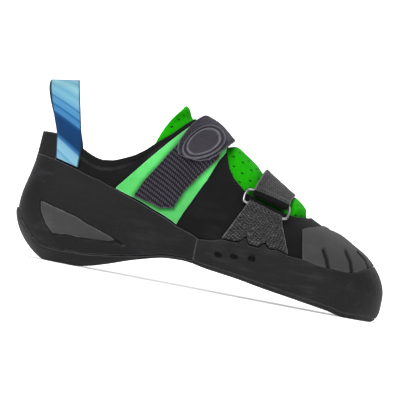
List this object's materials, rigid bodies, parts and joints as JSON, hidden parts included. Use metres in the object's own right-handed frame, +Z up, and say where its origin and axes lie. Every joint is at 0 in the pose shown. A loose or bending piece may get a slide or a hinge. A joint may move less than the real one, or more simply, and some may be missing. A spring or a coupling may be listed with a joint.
{
  "type": "climbing shoe",
  "caption": "Low rock climbing shoe for the right foot: hollow upper over an arched rubber sole, open collar and throat, padded tongue, instep straps.",
  "frame": {"origin": "on the floor, under the middle of the shoe's box", "axes": "+X from heel to toe, +Z up from the floor, -Y to the outer side of the foot"},
  "size_m": [0.2488, 0.092, 0.1208],
  "materials": {
    "upper": "black microfibre, matt",
    "insole": "dark lining board",
    "outsole": "black rubber, satin",
    "heel_band": "black rubber, satin",
    "tongue": "bright green padded knit, perforated",
    "heel_cup": "black rubber, matt",
    "heel_window": "grey textured rubber",
    "rand": "black rubber, matt",
    "toe_patch": "grey rubber, matt",
    "wing": "light green microfibre",
    "hook_pad": "dark purplish hook-and-loop weave",
    "main_strap": "dark purplish woven strap",
    "badge": "moulded rubber",
    "front_strap": "grey brushed loop fabric",
    "ring": "bright metal wire",
    "ring_tab": "grey brushed loop fabric",
    "heel_tab": "black ribbed webbing",
    "pull_loop": "light and dark blue printed webbing"
  },
  "bodies": {
    "root": {"upper": "upper", "insole": "insole", "outsole": "outsole", "heel_band": "heel_band", "tongue": "tongue", "heel_cup": "heel_cup", "rand": "rand", "toe_patch": "toe_patch", "wing": "wing", "hook_pad": "hook_pad", "main_strap": "main_strap", "badge": "badge", "front_strap": "front_strap", "ring": "ring", "ring_tab": "ring_tab", "heel_tab": "heel_tab", "pull_loop": "pull_loop", "heel_window_outer": "heel_window", "heel_window_inner": "heel_window"}
  },
  "joints": []
}
